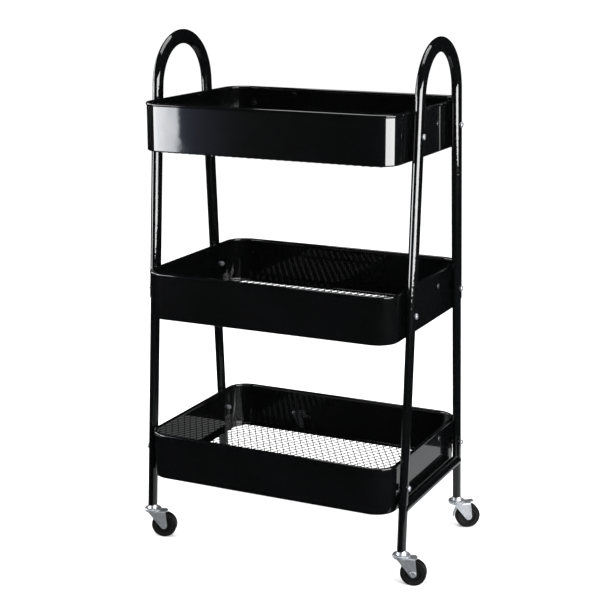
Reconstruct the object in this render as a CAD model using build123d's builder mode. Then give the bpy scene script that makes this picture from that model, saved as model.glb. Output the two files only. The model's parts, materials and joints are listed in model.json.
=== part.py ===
"""Three-tier rolling utility cart.

Two bent oval-tube side frames carry three sheet-steel baskets with expanded
mesh floors. Each lower leg slides into the upper frame tube, and a plastic
plug in its foot takes the stem of a swivel caster. The two rear casters have
brake levers.

Millimetres. The origin is on the floor under the middle of the frame, X runs
along the baskets' long side, -Y is the front and +Z is up.
"""

from build123d import *
import math
import os

os.makedirs("parts", exist_ok=True)

# ---------------------------------------------------------------- heights
overall_height = 803.0
tier_spacing = 258.5
rim_heights = {"bottom": 186.0, "middle": 444.5, "top": 703.0}
leg_foot_z = 55.0
leg_joint_z = 392.0
spigot_length = 40.0
cross_tube_z = 118.0
bolt_drop = 36.5

# ---------------------------------------------------------------- baskets
basket_length = 410.0
basket_width = 302.0
basket_depth = 73.0
corner_radius = 33.0
sheet = 1.0
bead_radius = 2.8
bead_proud = 1.4
hem_radius = 2.0
flange_width = 11.0

# ---------------------------------------------------------------- mesh floors
mesh_thickness = 1.2
mesh_inset = 3.0
mesh_corner_radius = 29.0
mesh_border = 4.0
# The real sheet's diamonds are 12.1 by 20.9 with 1.2 wide strands. Here both are
# doubled, which keeps the sheet's open area and its mass with a quarter of the faces.
diamond_pitch_x = 24.2
diamond_pitch_y = 41.8
strand_width = 2.4
smallest_hole_area = 8.0

# ---------------------------------------------------------------- side frames
frame_x = 215.5
leg_splay = 0.0682
leg_y_at_top_rim = 77.0
tube_x = 14.8
tube_y = 22.4
upper_wall = 1.0
lower_tube_x = 12.6
lower_tube_y = 20.2
lower_wall = 1.2
cross_tube_radius = 8.0
cross_tube_wall = 1.2

# ---------------------------------------------------------------- fasteners
bolt_radius = 2.0
bolt_hole_radius = 2.2
bolt_head_radius = 4.3
bolt_head_height = 2.5
bolt_head_round = 1.6
bolt_end = 5.0
recess_size = 4.4
recess_slot = 1.0
recess_depth = 1.3
nut_across_flats = 7.0
nut_height = 3.2
nut_turn = 30.0
spacer_radius = 5.0

# ---------------------------------------------------------------- casters
wheel_radius = 20.0
tyre_width = 14.0
tyre_round = 2.0
core_radius = 15.0
hub_length = 16.0
hub_radius = 6.0
hub_recess = 2.5
trail = 18.5
axle_radius = 3.0
axle_bore_radius = 3.05
axle_head_radius = 4.7
axle_head_height = 1.8
axle_rivet_radius = 3.9
axle_rivet_height = 1.2
axle_head_taper = 25.0
axle_rivet_taper = 20.0
axle_recess_radius = 2.3
axle_recess_depth = 1.0
fork_gap = 17.0
fork_sheet = 1.5
fork_bend = 2.0
fork_end_radius = 5.5
fork_lead = -7.5
fork_rear = 21.5
crown_z = 42.0
crown_radius = 12.5
crown_tail_width = 12.0
crown_tail_x = 24.0
crown_tail_round = 2.0
braked_crown_x = 10.4
stem_radius = 4.0
stem_hole_radius = 4.05
stem_top_z = 84.0
stem_groove_radius = 3.4
stem_groove_height = 3.0
stem_groove_drop = 9.0
stem_chamfer = 1.0
kingpin_head_radius = 5.2
kingpin_head_height = 1.3
kingpin_gap = 0.4
race_radius = 13.75
race_bottom_z = 44.0
race_top_z = 48.0
race_cone_radius = 6.6
race_sheet = 1.1
race_neck_flare = 2.4
race_top_fall = 0.3
race_lip_width = 1.2
race_lip_fall = 1.5
race_inner_fall = 0.2
ball_radius = 1.5
ball_circle_radius = 9.3
ball_count = 14
plug_clearance = 0.05
plug_height = 40.0
plug_collar = 1.6

# ---------------------------------------------------------------- brake lever
lever_sheet = 1.2
lever_width = 12.0
tab_width = 8.0
lever_pivot = (2.5, 36.5)
lever_eye_radius = 2.2
brake_pin_radius = 1.5
brake_pin_bore_radius = 1.55
pedal_points = [(2.5, 37.6), (6.0, 38.6), (14.2, 43.1), (20.0, 43.9), (27.0, 44.9), (28.6, 42.9)]
pedal_bends = [2.0, 2.5, 6.0, 1.2]
tab_points = [(1.2, 35.7), (-1.2, 31.5), (-3.4, 26.0), (-5.0, 19.5)]
tab_bends = [9.0, 12.0]

# ---------------------------------------------------------------- derived
splay_angle = math.atan(leg_splay)
half_length = basket_length / 2
half_width = basket_width / 2
top_rim = rim_heights["top"]
loop_rise = overall_height - tube_y / 2 - top_rim
loop_radius = (loop_rise - leg_y_at_top_rim / leg_splay) / (1 - 1 / math.sin(splay_angle))
loop_centre_z = top_rim + loop_rise - loop_radius
fork_width = fork_gap + 2 * fork_sheet
crown_top_z = crown_z + fork_sheet

# trail direction in degrees from +X, which way the axle's head faces, and brake
casters = {
    "front_left": {"x": -1, "y": -1, "trail": 20.0, "head": -1, "brake": False},
    "front_right": {"x": 1, "y": -1, "trail": 16.0, "head": 1, "brake": False},
    "rear_left": {"x": -1, "y": 1, "trail": 25.0, "head": -1, "brake": True},
    "rear_right": {"x": 1, "y": 1, "trail": 34.0, "head": -1, "brake": True},
}


def leg_y(z):
    """Distance of a leg's centre line from the cart's middle at height z."""
    return leg_y_at_top_rim + leg_splay * (top_rim - z)


def leg_plane(side, end, z):
    """Plane square to a leg at height z: side is -1 left, 1 right; end is -1 front, 1 rear."""
    return Plane(
        origin=(side * frame_x, end * leg_y(z), z),
        x_dir=(1, 0, 0),
        z_dir=(0, -end * math.sin(splay_angle), math.cos(splay_angle)),
    )


def bolt_spots(heights):
    """The (y, z) of the bolts on one side frame at the given heights."""
    return [(end * leg_y(z), z) for z in heights for end in (-1, 1)]


def save(part, label):
    """Name a finished piece and write it as its own file."""
    part.label = label
    export_step(part, f"parts/{label}.step")


bolt_heights = [rim - bolt_drop for rim in rim_heights.values()]
upper_bolt_heights = [z for z in bolt_heights if z > leg_joint_z]
lower_bolt_heights = [z for z in bolt_heights if z < leg_joint_z + spigot_length]


# ---------------------------------------------------------------- side frames
def upper_frame(side, label):
    """One bent oval tube: two splayed legs joined by a round handle loop."""
    bend_y = loop_radius * math.cos(splay_angle)
    bend_z = loop_centre_z + loop_radius * math.sin(splay_angle)
    foot_y = leg_y(leg_joint_z)
    bend_start = math.degrees(splay_angle)
    with BuildPart() as frame:
        with BuildLine(Plane.YZ.offset(side * frame_x)) as route:
            Line((foot_y, leg_joint_z), (bend_y, bend_z))
            CenterArc((0, loop_centre_z), loop_radius, bend_start, 180 - 2 * bend_start)
            Line((-bend_y, bend_z), (-foot_y, leg_joint_z))
        with BuildSketch(leg_plane(side, 1, leg_joint_z)):
            Ellipse(tube_x / 2, tube_y / 2)
            Ellipse(tube_x / 2 - upper_wall, tube_y / 2 - upper_wall, mode=Mode.SUBTRACT)
        sweep(path=route.wire())
        with BuildSketch(Plane.YZ.offset(side * frame_x)):
            with Locations(*bolt_spots(upper_bolt_heights)):
                Circle(bolt_hole_radius)
        extrude(amount=tube_x, both=True, mode=Mode.SUBTRACT)
    save(frame.part, label)


def lower_leg(side, end, label):
    """Straight oval tube: its top is a spigot in the upper frame, its foot is cut level."""
    top = leg_joint_z + spigot_length
    with BuildPart() as leg:
        with BuildSketch(leg_plane(side, end, top)):
            Ellipse(lower_tube_x / 2, lower_tube_y / 2)
            Ellipse(lower_tube_x / 2 - lower_wall, lower_tube_y / 2 - lower_wall, mode=Mode.SUBTRACT)
        extrude(amount=-(top - leg_foot_z + tube_y))
        split(bisect_by=Plane.XY.offset(leg_foot_z), keep=Keep.TOP)
        with BuildSketch(Plane.YZ.offset(side * frame_x)):
            with Locations(*bolt_spots(lower_bolt_heights)):
                Circle(bolt_hole_radius)
        extrude(amount=tube_x, both=True, mode=Mode.SUBTRACT)
    save(leg.part, label)


def cross_tube(side, label):
    """Round tube between the lower legs of one side, its ends coped to the oval legs."""
    with BuildPart() as tube:
        with BuildSketch(Plane.XZ.offset(-leg_y(cross_tube_z))):
            with Locations((side * frame_x, cross_tube_z)):
                Circle(cross_tube_radius)
                Circle(cross_tube_radius - cross_tube_wall, mode=Mode.SUBTRACT)
        extrude(amount=2 * leg_y(cross_tube_z))
        for end in (-1, 1):
            with BuildSketch(leg_plane(side, end, cross_tube_z - tube_y)):
                Ellipse(lower_tube_x / 2, lower_tube_y / 2)
            extrude(amount=2 * tube_y, mode=Mode.SUBTRACT)
    save(tube.part.solids().sort_by(SortBy.VOLUME)[-1], label)


# ---------------------------------------------------------------- baskets
def wall_section(corner, outward, along, bottom):
    """Section of a basket wall: flange, hem, sheet and rolled rim, square to the wall."""
    with BuildSketch(Plane(origin=(*corner, bottom), x_dir=outward, z_dir=-along)) as section:
        with BuildLine():
            Line((-flange_width, 0), (-hem_radius, 0))
            RadiusArc((-hem_radius, 0), (0, hem_radius), -hem_radius)
            Line((0, hem_radius), (0, basket_depth - bead_radius))
            Line((0, basket_depth - bead_radius), (-sheet, basket_depth - bead_radius))
            Line((-sheet, basket_depth - bead_radius), (-sheet, hem_radius))
            RadiusArc((-sheet, hem_radius), (-hem_radius, sheet), hem_radius - sheet)
            Line((-hem_radius, sheet), (-flange_width, sheet))
            Line((-flange_width, sheet), (-flange_width, 0))
        make_face()
        with Locations((bead_proud - bead_radius, basket_depth - bead_radius)):
            Circle(bead_radius)
    return section.sketch


def basket(rim, label):
    """Sheet wall with a rolled rim above and a narrow flange turned in below."""
    bottom = rim - basket_depth
    runs = [basket_width - 2 * corner_radius, basket_length - 2 * corner_radius]
    with BuildPart() as wall:
        for quarter in range(4):
            outward = Vector(1, 0, 0).rotate(Axis.Z, 90 * quarter)
            along = Vector(0, 1, 0).rotate(Axis.Z, 90 * quarter)
            run = runs[quarter % 2]
            reach = (half_length, half_width)[quarter % 2]
            start = outward * reach - along * (run / 2)
            corner = outward * reach + along * (run / 2)
            extrude(wall_section((start.X, start.Y), outward, along, bottom), amount=-run)
            centre = corner - outward * corner_radius
            revolve(
                wall_section((corner.X, corner.Y), outward, along, bottom),
                axis=Axis((centre.X, centre.Y, 0), (0, 0, 1)),
                revolution_arc=90,
            )
        with BuildSketch(Plane.YZ):
            with Locations(*bolt_spots([rim - bolt_drop])):
                Circle(bolt_hole_radius)
        extrude(amount=half_length + sheet, both=True, mode=Mode.SUBTRACT)
    save(wall.part, label)


def mesh_holes():
    """Staggered diamonds cut off at the sheet's plain border, seen from above."""
    strand_lean = math.atan(diamond_pitch_x / diamond_pitch_y)
    hole_half_x = diamond_pitch_x / 2 - strand_width / 2 / math.cos(strand_lean)
    hole_half_y = hole_half_x * diamond_pitch_y / diamond_pitch_x
    columns = round(basket_length / diamond_pitch_x)
    rows = round(basket_width / diamond_pitch_y)
    centres = []
    for column in range(-columns, columns + 1):
        for row in range(-rows, rows + 1):
            if (column + row) % 2 == 0:
                centres.append((column * diamond_pitch_x / 2, row * diamond_pitch_y / 2))
    with BuildSketch() as openings:
        with Locations(*centres):
            Polygon((-hole_half_x, 0), (0, -hole_half_y), (hole_half_x, 0), (0, hole_half_y))
        RectangleRounded(
            basket_length - 2 * (mesh_inset + mesh_border),
            basket_width - 2 * (mesh_inset + mesh_border),
            mesh_corner_radius - mesh_border,
            mode=Mode.INTERSECT,
        )
    return [face for face in openings.faces() if face.area > smallest_hole_area]


def mesh_floor(rim, holes, label):
    """Expanded-metal sheet welded under the basket's flange."""
    with BuildPart() as floor:
        with BuildSketch(Plane.XY.offset(rim - basket_depth)):
            RectangleRounded(
                basket_length - 2 * mesh_inset, basket_width - 2 * mesh_inset, mesh_corner_radius
            )
            add(holes, mode=Mode.SUBTRACT)
        extrude(amount=-mesh_thickness)
    save(floor.part, label)


# ---------------------------------------------------------------- fasteners
def along_bolts(x):
    """Sketch planes square to each bolt at distance x from the middle, facing outwards."""
    planes = []
    for side in (-1, 1):
        for y, z in bolt_spots(bolt_heights):
            planes.append(Plane(origin=(side * x, y, z), x_dir=(0, side, 0), z_dir=(side, 0, 0)))
    return planes


def basket_bolts():
    """Pan head cross-recess screws through the leg, the spacer and the basket end."""
    head_x = frame_x + tube_x / 2
    with BuildPart() as bolts:
        with BuildSketch(*along_bolts(head_x)):
            Circle(bolt_head_radius)
        extrude(amount=bolt_head_height)
        fillet(bolts.edges().filter_by(GeomType.CIRCLE).group_by(face_distance)[-1], bolt_head_round)
        with BuildSketch(*along_bolts(head_x)):
            Circle(bolt_radius)
        extrude(amount=-(head_x - half_length + sheet + bolt_end))
        with BuildSketch(*along_bolts(head_x + bolt_head_height)):
            Rectangle(recess_size, recess_slot)
            Rectangle(recess_slot, recess_size)
        extrude(amount=-recess_depth, mode=Mode.SUBTRACT)
    save(bolts.part, "basket_bolts")


def face_distance(edge):
    """Distance of an edge from the cart's middle plane, for picking the outermost ones."""
    return abs(edge.center().X)


def basket_nuts():
    """Hexagon nuts against the inside of the basket ends."""
    with BuildPart() as nuts:
        with BuildSketch(*along_bolts(half_length - sheet)):
            RegularPolygon(nut_across_flats / 2, 6, major_radius=False, rotation=nut_turn)
            Circle(bolt_hole_radius, mode=Mode.SUBTRACT)
        extrude(amount=-nut_height)
    save(nuts.part, "basket_nuts")


def basket_spacers():
    """Round spacers that hold the basket ends clear of the legs, saddled to the tube."""
    with BuildPart() as spacers:
        with BuildSketch(*along_bolts(half_length)):
            Circle(spacer_radius)
            Circle(bolt_hole_radius, mode=Mode.SUBTRACT)
        extrude(amount=frame_x - half_length)
        for side in (-1, 1):
            for end in (-1, 1):
                with BuildSketch(leg_plane(side, end, leg_foot_z)):
                    Ellipse(tube_x / 2, tube_y / 2)
                extrude(amount=top_rim, mode=Mode.SUBTRACT)
    save(spacers.part, "basket_spacers")


# ---------------------------------------------------------------- casters
def stem_plane(corner, z):
    """Horizontal plane on a caster's swivel axis, x along its trail."""
    spec = casters[corner]
    angle = math.radians(spec["trail"])
    return Plane(
        origin=(spec["x"] * frame_x, spec["y"] * leg_y(leg_foot_z), z),
        x_dir=(math.cos(angle), math.sin(angle), 0),
        z_dir=(0, 0, 1),
    )


def trail_plane(corner):
    """Upright plane through a caster's swivel axis and its wheel: x along the trail, y up."""
    spec = casters[corner]
    angle = math.radians(spec["trail"])
    return Plane(
        origin=(spec["x"] * frame_x, spec["y"] * leg_y(leg_foot_z), 0),
        x_dir=(math.cos(angle), math.sin(angle), 0),
        z_dir=(math.sin(angle), -math.cos(angle), 0),
    )


def wheel_plane(corner, offset=0.0):
    """Plane of a wheel's side faces: its origin is on the axle, its normal along the axle."""
    upright = trail_plane(corner)
    centre = upright.origin + upright.x_dir * trail + upright.y_dir * wheel_radius
    return Plane(origin=centre, x_dir=upright.x_dir, z_dir=upright.z_dir).offset(offset)


def leg_plug(corner):
    """Plastic plug in a leg's foot, with an upright bore for the caster's stem."""
    spec = casters[corner]
    plug_x = lower_tube_x / 2 - lower_wall - plug_clearance
    plug_y = lower_tube_y / 2 - lower_wall - plug_clearance
    with BuildPart() as plug:
        with BuildSketch(leg_plane(spec["x"], spec["y"], leg_foot_z + plug_height)):
            Ellipse(plug_x, plug_y)
        extrude(amount=-(plug_height + tube_y))
        split(bisect_by=Plane.XY.offset(leg_foot_z), keep=Keep.TOP)
        with BuildSketch(Plane.XY.offset(leg_foot_z)):
            with Locations((spec["x"] * frame_x, spec["y"] * leg_y(leg_foot_z))):
                Ellipse(lower_tube_x / 2, lower_tube_y / 2)
        extrude(amount=-plug_collar)
        with BuildSketch(stem_plane(corner, leg_foot_z - plug_collar)):
            Circle(stem_hole_radius)
        extrude(amount=stem_top_z - leg_foot_z + plug_collar, mode=Mode.SUBTRACT)
    save(plug.part, f"{corner}_leg_plug")


def caster_stem(corner):
    """Grip stem: a grooved pin from the leg plug down to its riveted foot under the fork."""
    head_top = crown_z - kingpin_gap
    groove_z = stem_top_z - stem_groove_drop
    with BuildPart() as stem:
        with BuildSketch(stem_plane(corner, head_top)):
            Circle(stem_radius)
        extrude(amount=stem_top_z - head_top)
        chamfer(stem.edges().group_by(Axis.Z)[-1], stem_chamfer)
        with BuildSketch(stem_plane(corner, groove_z)):
            Circle(stem_radius)
            Circle(stem_groove_radius, mode=Mode.SUBTRACT)
        extrude(amount=stem_groove_height, mode=Mode.SUBTRACT)
        with BuildSketch(stem_plane(corner, head_top)):
            Circle(kingpin_head_radius)
        extrude(amount=-kingpin_head_height)
        fillet(stem.edges().group_by(Axis.Z)[0], kingpin_head_height / 2)
    save(stem.part, f"{corner}_caster_stem")


def upper_race(corner):
    """Pressed cup that covers the swivel's ball ring, with a conical neck under the plug."""
    neck_top = leg_foot_z - plug_collar
    shoulder = race_cone_radius + race_neck_flare
    with BuildPart() as race:
        with BuildSketch(trail_plane(corner)):
            with BuildLine():
                Polyline(
                    (stem_radius, neck_top), (race_cone_radius, neck_top), (shoulder, race_top_z),
                    (race_radius - race_lip_width, race_top_z - race_top_fall),
                    (race_radius, race_top_z - race_lip_fall),
                    (race_radius, race_bottom_z), (race_radius - race_sheet, race_bottom_z),
                    (race_radius - race_sheet, race_top_z - race_sheet - race_inner_fall),
                    (stem_radius, race_top_z - race_sheet), close=True,
                )
            make_face()
        axis_at = trail_plane(corner).origin
        revolve(axis=Axis(axis_at, (0, 0, 1)))
    save(race.part, f"{corner}_upper_race")


def swivel_balls():
    """The steel balls between each fork crown and its race, all four rings in one node."""
    with BuildPart() as balls:
        for corner in casters:
            centre_z = (crown_top_z + race_top_z - race_sheet) / 2
            with Locations(stem_plane(corner, centre_z)):
                with PolarLocations(ball_circle_radius, ball_count):
                    Sphere(ball_radius)
    save(balls.part, "swivel_balls")


def fork(corner):
    """Pressed steel fork: a round crown with two tapering cheeks down to the axle."""
    braked = casters[corner]["brake"]
    with BuildPart() as yoke:
        with BuildSketch(trail_plane(corner)):
            with Locations((trail, wheel_radius)):
                Circle(fork_end_radius)
            with BuildLine():
                Line((fork_lead, crown_top_z), (fork_rear, crown_top_z))
            make_hull()
        extrude(amount=fork_width / 2, both=True)
        long_top = yoke.faces().sort_by(Axis.Z)[-1].edges().sort_by(Edge.length)[-2:]
        fillet(long_top, fork_bend)
        with BuildSketch(stem_plane(corner, crown_z)):
            Rectangle(4 * wheel_radius, fork_gap)
        extrude(amount=-2 * wheel_radius, mode=Mode.SUBTRACT)
        if braked:
            with BuildSketch(stem_plane(corner, crown_z - 2 * fork_bend)):
                with Locations((braked_crown_x + wheel_radius, 0)):
                    Rectangle(2 * wheel_radius, fork_gap)
            extrude(amount=4 * fork_bend, mode=Mode.SUBTRACT)
        else:
            with BuildSketch(stem_plane(corner, crown_z)):
                with Locations((crown_tail_x / 2, 0)):
                    RectangleRounded(crown_tail_x, crown_tail_width, crown_tail_round)
            extrude(amount=fork_sheet)
        with BuildSketch(stem_plane(corner, crown_z)):
            Circle(crown_radius)
            if braked:
                with Locations((braked_crown_x + wheel_radius, 0)):
                    Rectangle(2 * wheel_radius, fork_gap, mode=Mode.SUBTRACT)
        extrude(amount=fork_sheet)
        with BuildSketch(stem_plane(corner, crown_z)):
            Circle(stem_hole_radius)
        extrude(amount=fork_sheet, mode=Mode.SUBTRACT)
        with BuildSketch(wheel_plane(corner)):
            Circle(axle_radius)
        extrude(amount=fork_width, both=True, mode=Mode.SUBTRACT)
        if braked:
            with BuildSketch(trail_plane(corner)):
                with Locations(lever_pivot):
                    Circle(brake_pin_radius)
            extrude(amount=fork_width, both=True, mode=Mode.SUBTRACT)
    save(yoke.part, f"{corner}_fork")


def wheel(corner):
    """Moulded wheel core with a recessed web, and the tyre round it."""
    with BuildPart() as core:
        with BuildSketch(wheel_plane(corner)):
            Circle(core_radius)
        extrude(amount=tyre_width / 2, both=True)
        for face in (-1, 1):
            with BuildSketch(wheel_plane(corner, face * tyre_width / 2)):
                Circle(core_radius - hub_recess)
                Circle(hub_radius, mode=Mode.SUBTRACT)
            extrude(amount=-face * hub_recess, mode=Mode.SUBTRACT)
        with BuildSketch(wheel_plane(corner)):
            Circle(hub_radius)
        extrude(amount=hub_length / 2, both=True)
        with BuildSketch(wheel_plane(corner)):
            Circle(axle_bore_radius)
        extrude(amount=hub_length, both=True, mode=Mode.SUBTRACT)
    save(core.part, f"{corner}_wheel_core")

    with BuildPart() as tyre:
        with BuildSketch(wheel_plane(corner)):
            Circle(wheel_radius)
        extrude(amount=tyre_width / 2, both=True)
        fillet(tyre.edges(), tyre_round)
        with BuildSketch(wheel_plane(corner)):
            Circle(core_radius)
        extrude(amount=tyre_width, both=True, mode=Mode.SUBTRACT)
    save(tyre.part, f"{corner}_tyre")


def axle(corner):
    """Axle rivet: a round head on one cheek of the fork, a smaller end on the other, both dished."""
    head = casters[corner]["head"]
    with BuildPart() as pin:
        with BuildSketch(wheel_plane(corner)):
            Circle(axle_radius)
        extrude(amount=fork_width / 2, both=True)
        with BuildSketch(wheel_plane(corner, head * fork_width / 2)):
            Circle(axle_head_radius)
        extrude(amount=head * axle_head_height, taper=axle_head_taper)
        with BuildSketch(wheel_plane(corner, -head * fork_width / 2)):
            Circle(axle_rivet_radius)
        extrude(amount=-head * axle_rivet_height, taper=axle_rivet_taper)
        for end, height in ((head, axle_head_height), (-head, axle_rivet_height)):
            with BuildSketch(wheel_plane(corner, end * (fork_width / 2 + height))):
                Circle(axle_recess_radius)
            extrude(amount=-end * axle_recess_depth, mode=Mode.SUBTRACT)
    save(pin.part, f"{corner}_axle")


def brake(corner):
    """Rocking brake lever: a pedal over the wheel, an eye on its pin and a release tab."""
    with BuildPart() as lever:
        with BuildSketch(trail_plane(corner)):
            with BuildLine():
                FilletPolyline(*pedal_points, radius=pedal_bends)
            trace(line_width=lever_sheet)
        extrude(amount=lever_width / 2, both=True)
        with BuildSketch(trail_plane(corner)):
            with BuildLine():
                FilletPolyline(*tab_points, radius=tab_bends)
            trace(line_width=lever_sheet)
        extrude(amount=tab_width / 2, both=True)
        with BuildSketch(trail_plane(corner)):
            with Locations(lever_pivot):
                Circle(lever_eye_radius)
        extrude(amount=lever_width / 2, both=True)
        with BuildSketch(trail_plane(corner)):
            with Locations(lever_pivot):
                Circle(brake_pin_bore_radius)
        extrude(amount=lever_width, both=True, mode=Mode.SUBTRACT)
    save(lever.part, f"{corner}_brake_lever")

    with BuildPart() as pin:
        with BuildSketch(trail_plane(corner)):
            with Locations(lever_pivot):
                Circle(brake_pin_radius)
        extrude(amount=fork_width / 2, both=True)
    save(pin.part, f"{corner}_brake_pin")


# ---------------------------------------------------------------- the cart
diamonds = mesh_holes()
for tier, rim in rim_heights.items():
    basket(rim, f"{tier}_basket")
    mesh_floor(rim, diamonds, f"{tier}_mesh")
for side, side_name in ((-1, "left"), (1, "right")):
    upper_frame(side, f"{side_name}_upper_frame")
    cross_tube(side, f"{side_name}_cross_tube")
    for end, end_name in ((-1, "front"), (1, "rear")):
        lower_leg(side, end, f"{end_name}_{side_name}_lower_leg")
basket_bolts()
basket_nuts()
basket_spacers()
swivel_balls()
for corner in casters:
    leg_plug(corner)
    caster_stem(corner)
    upper_race(corner)
    fork(corner)
    wheel(corner)
    axle(corner)
    if casters[corner]["brake"]:
        brake(corner)
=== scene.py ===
"""Looks of the three-tier rolling utility cart: glossy black enamel on sheet
steel and tube, bright zinc casters and screws, black wheels.

Everything is in metres in the CAD frame: X along the baskets, -Y the front,
+Z up, the floor at z = 0.
"""

import json
import math

import bmesh
import bpy
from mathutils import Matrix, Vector


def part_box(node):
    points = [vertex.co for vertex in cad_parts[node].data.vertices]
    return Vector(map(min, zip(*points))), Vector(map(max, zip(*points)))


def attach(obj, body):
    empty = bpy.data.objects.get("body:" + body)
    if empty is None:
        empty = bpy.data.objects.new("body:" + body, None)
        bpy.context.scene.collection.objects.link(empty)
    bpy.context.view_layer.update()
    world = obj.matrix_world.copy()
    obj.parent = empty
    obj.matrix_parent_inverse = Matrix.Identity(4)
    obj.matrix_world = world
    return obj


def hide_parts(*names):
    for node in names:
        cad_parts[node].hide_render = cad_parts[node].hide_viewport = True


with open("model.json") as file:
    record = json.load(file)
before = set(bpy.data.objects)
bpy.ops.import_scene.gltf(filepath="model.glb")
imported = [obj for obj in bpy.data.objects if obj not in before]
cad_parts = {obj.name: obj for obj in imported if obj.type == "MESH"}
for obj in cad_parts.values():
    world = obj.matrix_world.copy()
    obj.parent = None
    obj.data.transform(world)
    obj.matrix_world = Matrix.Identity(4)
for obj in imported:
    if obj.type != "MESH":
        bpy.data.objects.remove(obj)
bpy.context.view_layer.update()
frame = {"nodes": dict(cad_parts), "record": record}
mm = 0.001

TIERS = ("top", "middle", "bottom")
SIDES = ("left", "right")
ENDS = (("front", -1), ("rear", 1))

# Expanded-metal floors: the diamonds' pitch, the strands' section, how far a
# strand is twisted at its middle (radians) and its depth below the sheet's top.
DIAMOND_X, DIAMOND_Y = 12.1 * mm, 20.9 * mm
STRAND_WIDTH, STRAND_THICKNESS = 1.5 * mm, 0.8 * mm
STRAND_TWIST = 0.32
STRAND_DEPTH = 0.6 * mm
STRAND_STEPS = 4
FLOOR_CORNER = 29 * mm

# Weld beads: the lower leg's oval and its centre line at the cross tube, then
# the bead's radius, half its reach across the leg and its ripples.
LEG_HALF_X, LEG_HALF_Y = 6.3 * mm, 10.1 * mm
LEG_Y = 0.1169
BEAD_RADIUS, BEAD_REACH = 1.5 * mm, 5.6 * mm
BEAD_STEPS, BEAD_SIDES = 40, 10
BEAD_RIPPLES, RIPPLE_SHARE = 9, 0.2
BEAD_END_TAPER = 0.5

# Studio floor, and the strengths of the world to the camera and to reflections.
FLOOR_RADIUS, FLOOR_SEGMENTS = 12, 96
WORLD_BRIGHT, WORLD_DIM = 1.15, 0.011

# Cards that only reflections see.
GLOW_LEFT, GLOW_RIGHT, GLOW_FRONT, GLOW_REAR = -0.5, 0.5, -0.14, 0.48
GLOW_Z, GLOW_STRENGTH = -0.002, 0.68
WINDOW_START, WINDOW_END = Vector((-1.85, -1.2, 0)), Vector((-1.1, -2.3, 0))
WINDOW_LOW, WINDOW_HIGH, WINDOW_STRENGTH = 0.16, 0.9, 19
WINDOW_RAGGED = 0.012

# Camera.
EYE = (0.9606, -2.0151, 0.935)
EYE_LOOKS_DOWN, EYE_TURNS_LEFT = 13.11, 25.42
SENSOR_WIDTH, FOCAL_LENGTH, VERTICAL_SHIFT = 36, 85.55, -0.04

BLACK = (0.0, 0.0, 0.0)


# ---------------------------------------------------------------- materials
class Shader:
    """A Principled material and short helpers to wire procedural nodes to it."""

    def __init__(self, name, **constants):
        self.material = bpy.data.materials.new(name)
        self.material.use_nodes = True
        self.tree = self.material.node_tree
        self.surface = self.tree.nodes["Principled BSDF"]
        for socket, value in constants.items():
            self.surface.inputs[socket.replace("_", " ")].default_value = value
        self.place = self.add("ShaderNodeTexCoord").outputs["Object"]

    def add(self, kind, **settings):
        """A new node with its settings."""
        node = self.tree.nodes.new(kind)
        for key, value in settings.items():
            setattr(node, key, value)
        return node

    def link(self, output, target):
        self.tree.links.new(output, target)

    def noise(self, scale, detail=3.0, roughness=0.5, stretch=(1, 1, 1)):
        """Noise value over the object's own coordinates, stretched along an axis if asked."""
        mapping = self.add("ShaderNodeMapping")
        mapping.inputs["Scale"].default_value = stretch
        self.link(self.place, mapping.inputs["Vector"])
        node = self.add("ShaderNodeTexNoise")
        node.inputs["Scale"].default_value = scale
        node.inputs["Detail"].default_value = detail
        node.inputs["Roughness"].default_value = roughness
        self.link(mapping.outputs["Vector"], node.inputs["Vector"])
        return node.outputs["Fac"]

    def cells(self, scale):
        """Random colour of each Voronoi cell."""
        node = self.add("ShaderNodeTexVoronoi")
        node.inputs["Scale"].default_value = scale
        self.link(self.place, node.inputs["Vector"])
        return node.outputs["Color"]

    def spread(self, value, low, high, start=0.0, end=1.0):
        """Maps a value from start..end to low..high."""
        node = self.add("ShaderNodeMapRange")
        self.link(value, node.inputs["Value"])
        limits = {"From Min": start, "From Max": end, "To Min": low, "To Max": high}
        for socket, number in limits.items():
            node.inputs[socket].default_value = number
        return node.outputs["Result"]

    def ramp(self, value, stops):
        """Colour ramp with (position, colour) stops, in order."""
        node = self.add("ShaderNodeValToRGB")
        elements = node.color_ramp.elements
        for element, (position, colour) in ((elements[-1], stops[-1]), (elements[0], stops[0])):
            element.position = position
            element.color = (*colour, 1)
        for position, colour in stops[1:-1]:
            elements.new(position).color = (*colour, 1)
        self.link(value, node.inputs["Fac"])
        return node.outputs["Color"]

    def mottle(self, value, start, dark, end, pale):
        """Colour that goes from dark at one value to pale at a higher one."""
        return self.ramp(value, [(start, dark), (end, pale)])

    def bump(self, height, distance, strength, below=None):
        """Bump from a height value, added over an earlier bump."""
        node = self.add("ShaderNodeBump")
        node.inputs["Distance"].default_value = distance
        node.inputs["Strength"].default_value = strength
        self.link(height, node.inputs["Height"])
        if below is not None:
            self.link(below, node.inputs["Normal"])
        return node.outputs["Normal"]

    def feed(self, socket, output):
        self.link(output, self.surface.inputs[socket])


def enamel():
    """Gloss black enamel with a faint orange peel and slight tint changes."""
    paint = Shader(
        "black_enamel",
        Coat_Weight=1.0,
        Coat_Roughness=0.03,
        Coat_IOR=1.5,
        Specular_IOR_Level=0.02,
    )
    patches = paint.noise(scale=9, detail=4)
    tint = paint.mottle(patches, 0.3, (0.0009, 0.001, 0.001), 0.7, (0.0015, 0.0016, 0.0018))
    peel = paint.bump(paint.noise(scale=420, detail=2), distance=0.02 * mm, strength=0.12)
    wave = paint.bump(paint.noise(scale=14, detail=2), distance=0.8 * mm, strength=0.25, below=peel)
    paint.feed("Base Color", tint)
    paint.feed("Roughness", paint.spread(paint.noise(scale=60, detail=3), low=0.16, high=0.28))
    paint.feed("Normal", wave)
    paint.feed("Coat Normal", wave)
    return paint.material


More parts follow.
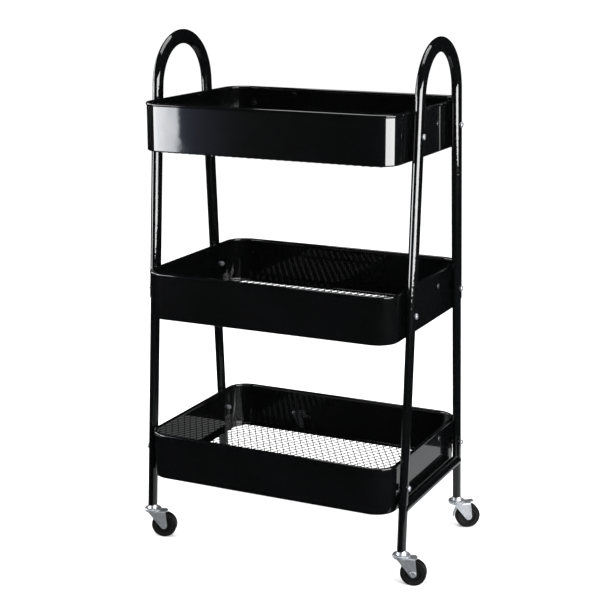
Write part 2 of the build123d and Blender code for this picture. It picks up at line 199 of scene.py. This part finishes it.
def zinc():
    """Zinc plating on pressed steel: grey, faintly blue, softly spangled and streaked."""
    plate = Shader("zinc_plate", Metallic=0.88, Specular_IOR_Level=0.5)
    tint = plate.mottle(plate.cells(scale=260), 0.0, (0.34, 0.36, 0.39), 1.0, (0.52, 0.54, 0.56))
    streaks = plate.noise(scale=900, detail=3, stretch=(1, 1, 0.15))
    plate.feed("Base Color", tint)
    plate.feed("Roughness", plate.spread(plate.noise(scale=300, detail=4), low=0.32, high=0.5))
    plate.feed("Normal", plate.bump(streaks, distance=0.02 * mm, strength=0.5))
    return plate.material


def rubber():
    """Black wheel rubber with a fine grain and a little floor dust."""
    tyre = Shader("wheel_rubber", Specular_IOR_Level=0.1)
    tint = tyre.mottle(tyre.noise(scale=130, detail=5), 0.35, (0.0015,) * 3, 0.75, (0.006,) * 3)
    grain = tyre.noise(scale=2200, detail=3)
    tyre.feed("Base Color", tint)
    tyre.feed("Roughness", tyre.spread(tyre.noise(scale=500, detail=3), low=0.42, high=0.62))
    tyre.feed("Normal", tyre.bump(grain, distance=0.03 * mm, strength=0.5))
    return tyre.material


def plastic(name, dark, pale):
    """Moulded black plastic with a fine spark-eroded texture."""
    part = Shader(name, Specular_IOR_Level=0.2)
    tint = part.mottle(part.noise(scale=70, detail=3), 0.3, (dark,) * 3, 0.7, (pale,) * 3)
    sparks = part.noise(scale=3000, detail=2)
    part.feed("Base Color", tint)
    part.feed("Roughness", part.spread(part.noise(scale=400, detail=2), low=0.32, high=0.5))
    part.feed("Normal", part.bump(sparks, distance=0.02 * mm, strength=0.4))
    return part.material


def bearing_steel():
    """Polished balls with faint running marks."""
    ball = Shader("bearing_steel", Metallic=1.0)
    marks = ball.noise(scale=600, detail=2)
    tint = ball.mottle(marks, 0.3, (0.55, 0.55, 0.56), 0.7, (0.72, 0.72, 0.73))
    ball.feed("Base Color", tint)
    ball.feed("Roughness", ball.spread(ball.noise(scale=900, detail=3), low=0.08, high=0.2))
    return ball.material


looks = {
    "black_enamel": enamel(),
    "zinc_plate": zinc(),
    "wheel_rubber": rubber(),
    "wheel_plastic": plastic("wheel_plastic", 0.002, 0.005),
    "plug_plastic": plastic("plug_plastic", 0.003, 0.007),
    "bearing_steel": bearing_steel(),
}
slots = {entry["node"]: entry["material_slot"] for entry in frame["record"]["subparts"]}
for node, shape in frame["nodes"].items():
    shape.data.materials.clear()
    shape.data.materials.append(looks[slots[node]])


# ---------------------------------------------------------------- mesh helpers
def linked(name, mesh):
    """Turns a finished bmesh into an object in the scene."""
    data = bpy.data.meshes.new(name)
    mesh.to_mesh(data)
    mesh.free()
    shape = bpy.data.objects.new(name, data)
    bpy.context.scene.collection.objects.link(shape)
    return shape


def piece(name, mesh, slot, body, *replaced):
    """Makes a finished bmesh a piece of the cart that rides on a body."""
    bmesh.ops.recalc_face_normals(mesh, faces=mesh.faces)
    shape = linked(name, mesh)
    shape.data.materials.append(looks[slot])
    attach(shape, body)
    if replaced:
        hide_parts(*replaced)
    return shape


def skin(mesh, rings):
    """Joins rings of vertices into a closed bar with flat ends."""
    for one, two in zip(rings, rings[1:]):
        for k in range(len(one)):
            following = (k + 1) % len(one)
            mesh.faces.new((one[k], one[following], two[following], two[k]))
    mesh.faces.new(rings[0])
    mesh.faces.new(rings[-1][::-1])


# ---------------------------------------------------------------- mesh floors
def expanded_floor(tier):
    """Expanded metal: staggered diamonds of thin strands, twisted out of the sheet's plane."""
    sheet_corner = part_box(f"{tier}_mesh")[1]
    half_x, half_y = sheet_corner.x - STRAND_WIDTH, sheet_corner.y - STRAND_WIDTH

    def inside(point):
        over_x = max(abs(point.x) - (half_x - FLOOR_CORNER), 0)
        over_y = max(abs(point.y) - (half_y - FLOOR_CORNER), 0)
        return math.hypot(over_x, over_y) <= FLOOR_CORNER

    mesh = bmesh.new()
    columns = math.ceil(half_x / DIAMOND_X * 2) + 1
    rows = math.ceil(half_y / DIAMOND_Y * 2) + 1
    for column in range(-columns, columns + 1):
        for row in range(-rows, rows + 1):
            if (column + row) % 2:
                continue
            for lean in (-1, 1):
                start = Vector((column * DIAMOND_X / 2, row * DIAMOND_Y / 2, 0))
                end = start + Vector((lean * DIAMOND_X / 2, DIAMOND_Y / 2, 0))
                strand(mesh, start, end, inside, STRAND_TWIST * lean, sheet_corner.z)
    return piece(f"{tier}_expanded_floor", mesh, "black_enamel", "cart_frame", f"{tier}_mesh")


def strand(mesh, start, end, inside, twist, sheet_top):
    """One strand of the sheet, tilted about its length between its two bonds."""
    points = [start.lerp(end, i / STRAND_STEPS) for i in range(STRAND_STEPS + 1)]
    kept = [i for i in range(STRAND_STEPS + 1) if inside(points[i])]
    if len(kept) < 2:
        return
    along = (end - start).normalized()
    across = Vector((-along.y, along.x, 0))
    upward = Vector((0, 0, 1))
    rings = []
    for i in kept:
        lean = twist * math.sin(math.pi * i / STRAND_STEPS)
        side = across * math.cos(lean) + upward * math.sin(lean)
        rise = across * -math.sin(lean) + upward * math.cos(lean)
        centre = points[i] + Vector((0, 0, sheet_top - STRAND_DEPTH))
        ring = []
        for u, v in ((-1, -1), (1, -1), (1, 1), (-1, 1)):
            edge = side * (u * STRAND_WIDTH / 2) + rise * (v * STRAND_THICKNESS / 2)
            ring.append(mesh.verts.new(centre + edge))
        rings.append(ring)
    skin(mesh, rings)


for tier in TIERS:
    expanded_floor(tier)


# ---------------------------------------------------------------- weld beads
def weld_bead(side_name, end_name, end, above):
    """Rippled bead along a cross tube's joint with a leg, above or below the tube."""
    low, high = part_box(f"{side_name}_cross_tube")
    tube_radius = (high.z - low.z) / 2
    middle_x, middle_z = (low.x + high.x) / 2, (low.z + high.z) / 2
    mesh = bmesh.new()
    rings = []
    for i in range(BEAD_STEPS + 1):
        t = -1 + 2 * i / BEAD_STEPS
        x = t * BEAD_REACH
        y = end * (LEG_Y - LEG_HALF_Y * math.sqrt(1 - (x / LEG_HALF_X) ** 2))
        z = middle_z + above * math.sqrt(tube_radius**2 - x**2)
        ripple = 1 - RIPPLE_SHARE + RIPPLE_SHARE * abs(math.sin(math.pi * BEAD_RIPPLES * t))
        size = BEAD_RADIUS * ripple * (1 - BEAD_END_TAPER * t**4)
        ring = []
        for k in range(BEAD_SIDES):
            turn = 2 * math.pi * k / BEAD_SIDES
            spot = (middle_x + x, y + size * math.cos(turn), z + size * math.sin(turn))
            ring.append(mesh.verts.new(spot))
        rings.append(ring)
    skin(mesh, rings)
    place = "upper" if above > 0 else "lower"
    shape = piece(f"{end_name}_{side_name}_{place}_weld", mesh, "black_enamel", "cart_frame")
    shape.data.shade_smooth()


for side_name in SIDES:
    for end_name, end in ENDS:
        for above in (1, -1):
            weld_bead(side_name, end_name, end, above)


# ---------------------------------------------------------------- studio
def studio_floor():
    """Plain pale floor, left out of reflections so that the enamel stays dark."""
    mesh = bmesh.new()
    bmesh.ops.create_circle(mesh, cap_ends=True, radius=FLOOR_RADIUS, segments=FLOOR_SEGMENTS)
    floor = linked("studio_floor", mesh)
    paper = Shader("floor_paper", Specular_IOR_Level=0.0, Roughness=1.0)
    tint = paper.mottle(paper.noise(scale=2), 0.3, (0.88,) * 3, 0.7, (0.9,) * 3)
    paper.feed("Base Color", tint)
    floor.data.materials.append(paper.material)
    floor.visible_glossy = False


def studio_world():
    """White to the camera and to the floor, dim to reflections, as in a tent of black cards."""
    world = bpy.data.worlds.new("studio")
    bpy.context.scene.world = world
    world.use_nodes = True
    tree = world.node_tree
    tree.nodes.clear()

    def background(colour, strength):
        node = tree.nodes.new("ShaderNodeBackground")
        node.inputs["Color"].default_value = (*colour, 1)
        node.inputs["Strength"].default_value = strength
        return node.outputs[0]

    path = tree.nodes.new("ShaderNodeLightPath")
    mix = tree.nodes.new("ShaderNodeMixShader")
    out = tree.nodes.new("ShaderNodeOutputWorld")
    tree.links.new(path.outputs["Is Glossy Ray"], mix.inputs["Fac"])
    tree.links.new(background((1, 1, 1), WORLD_BRIGHT), mix.inputs[1])
    tree.links.new(background((0.8, 0.9, 1.0), WORLD_DIM), mix.inputs[2])
    tree.links.new(mix.outputs[0], out.inputs["Surface"])


def soft_box(name, place, aim, width, height, power):
    """Rectangular area light at a place, turned to face a point."""
    light = bpy.data.lights.new(name, "AREA")
    light.shape = "RECTANGLE"
    light.size, light.size_y = width, height
    light.energy = power
    lamp = bpy.data.objects.new(name, light)
    bpy.context.scene.collection.objects.link(lamp)
    lamp.location = place
    lamp.rotation_euler = (Vector(aim) - Vector(place)).to_track_quat("-Z", "Y").to_euler()
    lamp.visible_camera = False


def reflection_card(name, corners, strength):
    """Glowing card that only reflections see: its object and its shader."""
    mesh = bmesh.new()
    for corner in corners:
        mesh.verts.new(corner)
    mesh.faces.new(mesh.verts)
    card = linked(name, mesh)
    glow = Shader(
        name, Base_Color=(*BLACK, 1), Emission_Strength=strength, Specular_IOR_Level=0.0
    )
    card.data.materials.append(glow.material)
    card.visible_camera = False
    card.visible_diffuse = False
    card.visible_shadow = False
    return card, glow


def floor_glow():
    """Pale patch of floor round the casters."""
    outline = (
        (GLOW_LEFT, GLOW_FRONT),
        (GLOW_RIGHT, GLOW_FRONT),
        (GLOW_RIGHT, GLOW_REAR),
        (GLOW_LEFT, GLOW_REAR),
    )
    corners = [(x, y, GLOW_Z) for x, y in outline]
    glow = reflection_card("floor_glow", corners, GLOW_STRENGTH)[1]
    tint = glow.mottle(glow.noise(scale=3), 0.3, (0.9, 0.93, 0.95), 0.7, (1, 1, 1))
    glow.feed("Emission Color", tint)


def window_card():
    """Upright card at the front left: pale, then navy, then black, with ragged borders."""
    run = WINDOW_END - WINDOW_START
    outline = (
        (0, WINDOW_LOW),
        (run.length, WINDOW_LOW),
        (run.length, WINDOW_HIGH),
        (0, WINDOW_HIGH),
    )
    corners = [(x, 0, z) for x, z in outline]
    card, glow = reflection_card("window_card", corners, WINDOW_STRENGTH)
    card.location = WINDOW_START
    card.rotation_euler = (0, 0, math.atan2(run.y, run.x))
    split = glow.add("ShaderNodeSeparateXYZ")
    glow.link(glow.place, split.inputs["Vector"])
    along = glow.spread(split.outputs["X"], low=0.0, high=1.0, start=0.0, end=run.length)
    tears = glow.noise(scale=14, detail=6, roughness=0.8)
    shake = glow.spread(tears, low=-WINDOW_RAGGED, high=WINDOW_RAGGED, start=0.3, end=0.7)
    ragged = glow.add("ShaderNodeMath", operation="ADD")
    glow.link(along, ragged.inputs[0])
    glow.link(shake, ragged.inputs[1])
    stops = [
        (0.0, (0.9, 0.92, 0.94)),
        (0.73, (0.9, 0.92, 0.94)),
        (0.775, (0.6, 0.62, 0.66)),
        (0.788, (0.015, 0.02, 0.034)),
        (0.83, (0.005, 0.0065, 0.013)),
        (0.92, BLACK),
    ]
    glow.feed("Emission Color", glow.ramp(ragged.outputs[0], stops))


def camera():
    """Camera at the viewing angle: from the front right and a little above the cart."""
    data = bpy.data.cameras.new("camera")
    eye = bpy.data.objects.new("camera", data)
    bpy.context.scene.collection.objects.link(eye)
    eye.location = EYE
    eye.rotation_euler = (math.radians(90 - EYE_LOOKS_DOWN), 0, math.radians(EYE_TURNS_LEFT))
    data.sensor_width = SENSOR_WIDTH
    data.lens = FOCAL_LENGTH
    data.shift_y = VERTICAL_SHIFT
    bpy.context.scene.camera = eye


studio_floor()
studio_world()
soft_box(
    "overhead",
    place=(0, 0, 2.6),
    aim=(0, 0, 0.6),
    width=2.0,
    height=1.6,
    power=60,
)
soft_box(
    "left_wall",
    place=(-2.2, -0.6, 1.0),
    aim=(0, 0, 0.75),
    width=2.6,
    height=0.95,
    power=48,
)
soft_box(
    "right_strip",
    place=(2.0, -0.6, 0.68),
    aim=(0.2, -0.1, 0.68),
    width=1.7,
    height=1.0,
    power=96,
)
floor_glow()
window_card()
camera()
bpy.context.scene.view_settings.view_transform = "Standard"
